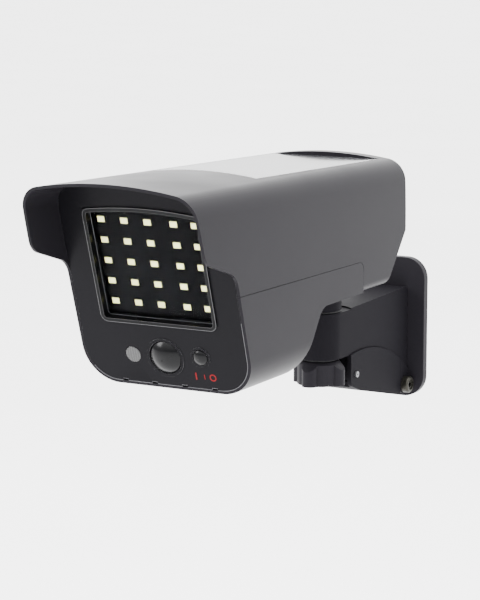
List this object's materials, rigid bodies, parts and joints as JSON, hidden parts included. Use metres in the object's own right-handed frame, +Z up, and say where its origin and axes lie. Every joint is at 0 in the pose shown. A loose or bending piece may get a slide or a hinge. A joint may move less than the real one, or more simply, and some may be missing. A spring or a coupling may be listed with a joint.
{
  "type": "solar security lamp with motion sensor",
  "caption": "Camera-shaped solar wall lamp: visored head with lamp window, motion-sensor dome and button, panning on a post in a tilting bracket arm.",
  "frame": {"origin": "centre of the wall plate's back face", "axes": "+Y into the wall, +Z up, X across; the lamp face looks along -Y and down"},
  "size_m": [0.0742, 0.2397, 0.1189],
  "materials": {
    "housing": "satin",
    "face": "satin",
    "gloss_black": "glossy",
    "clear": "clear",
    "lamp_board": "matt solder mask",
    "lamp": "yellow phosphor",
    "diffuser": "frosted",
    "sensor": "ceramic",
    "switch_body": "matt",
    "switch_tip": "satin",
    "control_board": "solder mask",
    "chips": "matt",
    "steel": "zinc plated",
    "dark_pin": "dark zinc",
    "cell": "shrink sleeve",
    "solar": "silicon under glass",
    "backing": "laminate",
    "rubber": "foam",
    "bracket": "satin"
  },
  "bodies": {
    "wall_bracket": {"wall_plate": "bracket"},
    "tilt_arm": {"bracket_arm": "bracket", "arm_cover": "bracket", "cover_screw": "steel", "friction_washer": "rubber", "pivot_screw": "dark_pin", "pivot_nut": "steel"},
    "knob": {"clamp_knob": "bracket", "knob_washer": "steel"},
    "button": {"power_button": "gloss_black", "switch_plunger": "switch_tip"},
    "head": {"top_cover": "housing", "lower_case": "housing", "front_bezel": "face", "lens_frame": "gloss_black", "lamp_lens": "clear", "led_board": "lamp_board", "led_chips": "lamp", "pir_dome": "gloss_black", "pir_sensor": "steel", "light_window": "diffuser", "photocell": "sensor", "tact_switch": "switch_body", "control_board": "control_board", "board_components": "chips", "board_screws": "steel", "battery_holder": "face", "battery_cell": "cell", "battery_contacts": "steel", "holder_screws": "steel", "solar_glass": "clear", "solar_cells": "solar", "solar_backing": "backing", "panel_gasket": "rubber", "case_screws": "steel", "pan_stem": "bracket", "stem_nut": "steel"}
  },
  "joints": [
    {"name": "arm_tilt", "type": "hinge", "parent": "wall_bracket", "child": "tilt_arm", "pos_m": [0, -0.0085, -0.025], "axis": [1, 0, 0], "range_deg": [0, 75]},
    {"name": "head_pan", "type": "hinge", "parent": "tilt_arm", "child": "head", "pos_m": [0, -0.071, 0.017], "axis": [0, 0, 1], "range_deg": [-90, 90]},
    {"name": "knob_turn", "type": "hinge", "parent": "head", "child": "knob", "pos_m": [0, -0.071, -0.009], "axis": [0, 0, -1], "range_deg": [0, 360]},
    {"name": "button_press", "type": "slide", "parent": "head", "child": "button", "axis": [0, 0.9548, 0.2974], "range_m": [0, 0.0006], "stiffness_N_per_m": 1500, "springref_m": -0.0005}
  ]
}
